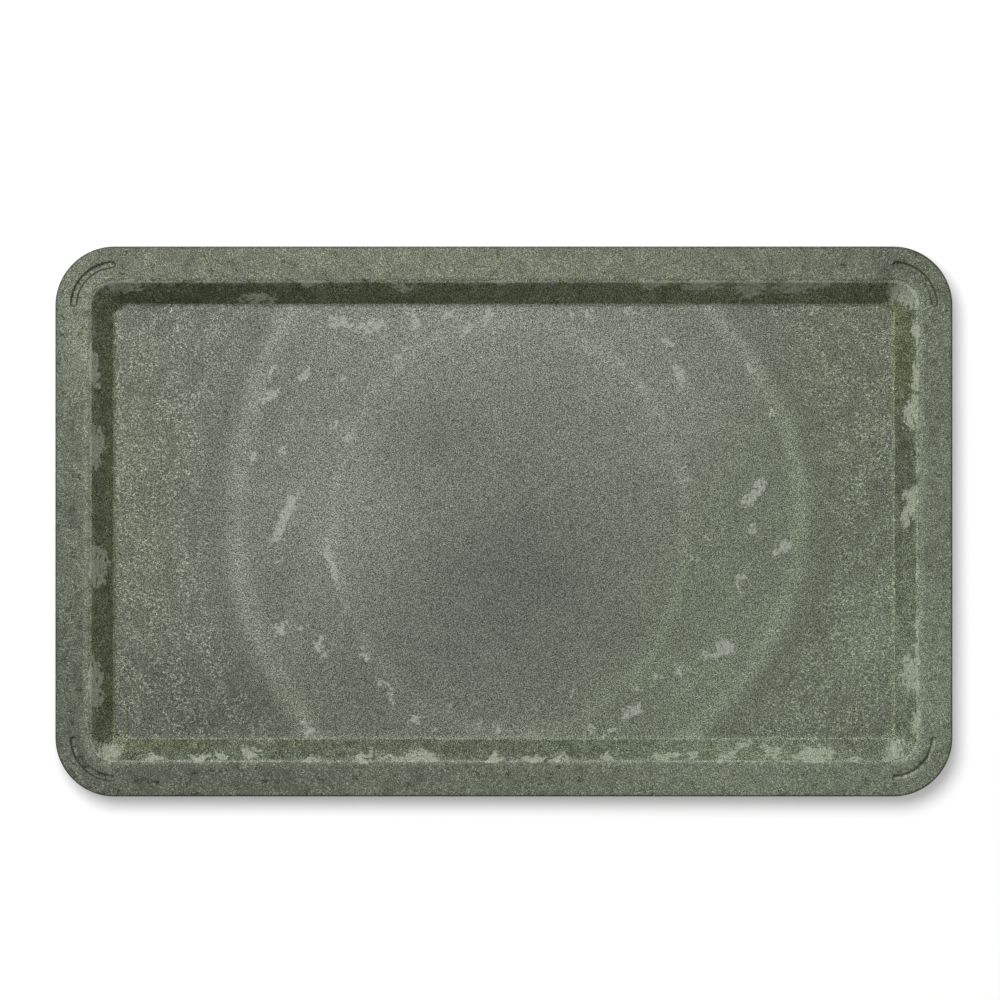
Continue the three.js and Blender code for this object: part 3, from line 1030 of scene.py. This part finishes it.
def close_finish(w, material, colour, relief, grain_tone, roughness):
    """Adds the bump and the shader, and gives the finished material to the tray."""
    bump = w.add("ShaderNodeBump", {"Height": relief, "Strength": 1.0, "Distance": BUMP_DEPTH})
    surface = {
        "Base Color": colour,
        "Roughness": w.math("MULTIPLY_ADD", grain_tone, ROUGHNESS_SWING, roughness),
        "Normal": bump.outputs["Normal"],
        "Specular IOR Level": SPECULAR,
    }
    shader = w.add("ShaderNodeBsdfPrincipled", surface)
    w.add("ShaderNodeOutputMaterial", {"Surface": shader.outputs[0]})
    tray_mesh.materials.append(material)
    print(f"{material.name}:", len(w.tree.nodes), "nodes")


relief = w.math("MULTIPLY_ADD", fibre_tone, FIBRE_RELIEF, grain["Height"])
close_finish(w, face_material, colour, relief, grain["Tone"], ROUGHNESS)

# %% [markdown]
# ## The underside
#
# The underside was pressed against the other half of the mould. It is the same compound, but plainer: a
# weaker grain, broad clouds, clumps of fibres and no pale marks. The feet of the stacking ribs are rubbed
# pale.

# %% Finish the underside
UNDERSIDE_GROUND = 0.165
UNDERSIDE_GRAIN = 0.6
UNDERSIDE_ROUGHNESS = 0.66
CLOUD_SIZE = 70.0
CLOUD_REACH = 0.3
UNDER_COMBING_SIZE = 15.0
UNDER_COMBING_SPAN = (0.40, 0.65)
UNDER_FIBRE_CHANGE = 0.4
UNDER_TINT_SIZE = 110.0
UNDER_TINT_SPAN = (0.35, 0.65)
RIB_WEAR = (3.6, 2.6)
RIB_WEAR_CHANGE = 0.25
RIB_WEAR_HEIGHTS = (16.2, 15.2)

back_material, w, place = start_finish("pressed_underside")
plan = w.vector("MULTIPLY", place, PLAN)
grain = w.effect("pebbled grain", {"Place": place, "Size": GRAIN_SIZE})
grain_tone = w.math("MULTIPLY_ADD", grain["Tone"], UNDERSIDE_GRAIN, 1.0 - UNDERSIDE_GRAIN)
fibres = w.effect("combed fibres", {"Place": place})["Fibres"]
from_rib = w.math("ABSOLUTE", w.effect("ways on the tray", {"Place": place})["From groove"])
clouds = w.swing(plan, CLOUD_SIZE, CLOUD_REACH, detail=CLOUDY)
clumps = w.noise(plan, UNDER_COMBING_SIZE, detail=CLOUDY)
combing = w.fade(clumps, *UNDER_COMBING_SPAN, 0.0, UNDER_FIBRE_CHANGE)
low_down = w.fade(w.parts(place)[2], *RIB_WEAR_HEIGHTS, 0.0, RIB_WEAR_CHANGE)
rubbed = w.times(w.fade(from_rib, *RIB_WEAR), low_down)
light = w.times(w.plus(1.0, clouds, w.times(fibres, combing), rubbed), grain_tone, UNDERSIDE_GROUND)
tint = w.mix(w.fade(w.noise(plan, UNDER_TINT_SIZE), *UNDER_TINT_SPAN), OLIVE_TINT, GREEN_TINT)
colour = w.scaled(tint, light)
close_finish(w, back_material, colour, grain["Height"], grain["Tone"], UNDERSIDE_ROUGHNESS)

# %% [markdown]
# ## The studio floor
#
# The tray lies on a plain white sweep, and the picture's ground is pure white with a soft shadow below
# and to the right. The floor is a pale matt surface with a little light of its own that only the camera
# and glossy reflections see, so that it reaches white without more light on the tray.

# %% Lay the white floor
FLOOR_SIZE = 12.0
FLOOR_DROP = 0.05 * MM
FLOOR_COLOUR = (0.86, 0.86, 0.86, 1.0)
FLOOR_GLOW = 0.31

floor_shape = bmesh.new()
bmesh.ops.create_grid(floor_shape, x_segments=2, y_segments=2, size=FLOOR_SIZE / 2)
bmesh.ops.translate(floor_shape, verts=floor_shape.verts, vec=(0, 0, -FLOOR_DROP))
floor_mesh = bpy.data.meshes.new("white_floor")
floor_shape.to_mesh(floor_mesh)
floor_shape.free()
floor = bpy.data.objects.new("white_floor", floor_mesh)
bpy.context.scene.collection.objects.link(floor)

floor_material, w, place = start_finish("white_floor")
rays = w.add("ShaderNodeLightPath", {}).outputs
matt = w.add("ShaderNodeBsdfDiffuse", {"Color": FLOOR_COLOUR}).outputs[0]
seen = w.math("MAXIMUM", rays["Is Camera Ray"], rays["Is Glossy Ray"])
glow = w.add("ShaderNodeEmission", {"Strength": w.times(seen, FLOOR_GLOW)}).outputs[0]
both = w.add("ShaderNodeAddShader", {0: matt, 1: glow}).outputs[0]
w.add("ShaderNodeOutputMaterial", {"Surface": both})
floor_mesh.materials.append(floor_material)
print(f"The floor is {FLOOR_SIZE:.0f} m wide")

# %% [markdown]
# ## Light
#
# The walls tell where the light on the tray comes from: those at the top and the left are dark, those at
# the bottom and the right are bright, so a softbox stands up to the left, beyond the picture's top edge,
# at about 50 degrees. The shadow on the ground is shorter and softer than that lamp would make it, as
# after the usual clean-up of a catalogue picture. One lamp can't do both, so a second, larger one stands
# nearly overhead for the ground, and light linking gives each lamp its own receiver. An even white world
# fills the shadows.

# %% Set the lamps and the world
LIGHT_DISTANCE = 3.0
FILL_SHARE = 0.24
KEY_FROM = Vector((-0.36, 0.50, 0.787))
KEY_WIDTH = 0.85
KEY_SHARE = 0.76
OVERHEAD_FROM = Vector((-0.19, 0.30, 0.935))
OVERHEAD_WIDTH = 1.75
OVERHEAD_SHARE = 0.76


def hang_softbox(name, direction, width, share, receiver):
    """A round lamp that brings a level white face of one object to this share of full white."""
    lamp_data = bpy.data.lights.new(name, "AREA")
    lamp_data.shape = "DISK"
    lamp_data.size = width
    lamp_data.energy = share * math.pi**2 * LIGHT_DISTANCE**2 / direction.z
    lamp = bpy.data.objects.new(name, lamp_data)
    lamp.location = direction * LIGHT_DISTANCE
    lamp.rotation_mode = "QUATERNION"
    lamp.rotation_quaternion = direction.to_track_quat("Z", "Y")
    lamp.visible_camera = False
    lit = bpy.data.collections.new(f"lit by {name}")
    lit.objects.link(receiver)
    lamp.light_linking.receiver_collection = lit
    bpy.context.scene.collection.objects.link(lamp)
    print(f"{name} gives {lamp_data.energy:.0f} W to {receiver.name}")


hang_softbox("key_softbox", KEY_FROM.normalized(), KEY_WIDTH, KEY_SHARE, tray)
hang_softbox("overhead_softbox", OVERHEAD_FROM.normalized(), OVERHEAD_WIDTH, OVERHEAD_SHARE, floor)

world = bpy.data.worlds.new("white_room")
world.use_nodes = True
world.node_tree.nodes.clear()
w = Wiring(world.node_tree)
rays = w.add("ShaderNodeLightPath", {}).outputs
mirrored = w.math("MAXIMUM", rays["Is Glossy Ray"], rays["Is Transmission Ray"])
seen = w.math("MAXIMUM", rays["Is Camera Ray"], mirrored)
room = w.add("ShaderNodeBackground", {"Strength": w.fade(seen, 0.0, 1.0, FILL_SHARE, 1.0)}).outputs[0]
w.add("ShaderNodeOutputWorld", {"Surface": room})
bpy.context.scene.world = world
bpy.context.scene.view_settings.view_transform = "Standard"
